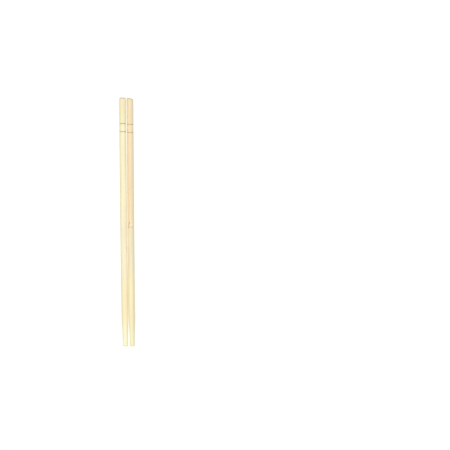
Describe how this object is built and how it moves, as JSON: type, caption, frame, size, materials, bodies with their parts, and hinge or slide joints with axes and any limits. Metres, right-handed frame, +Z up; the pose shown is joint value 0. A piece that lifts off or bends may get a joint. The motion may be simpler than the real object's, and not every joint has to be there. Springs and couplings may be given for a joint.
{
  "type": "bamboo chopsticks",
  "caption": "Round bamboo chopsticks with ring grooves below flat heads and a smooth taper to blunt tips, for picking up food.",
  "frame": {"origin": "on the surface that the sticks lie on, under the middle of the pair", "axes": "+Y along the pair towards the heads, +X to the right, +Z up"},
  "size_m": [0.012, 0.2106, 0.0056],
  "materials": {
    "left_bamboo": "satin",
    "right_bamboo": "satin"
  },
  "bodies": {
    "root": {"left_chopstick": "left_bamboo", "right_chopstick": "right_bamboo"}
  },
  "joints": []
}
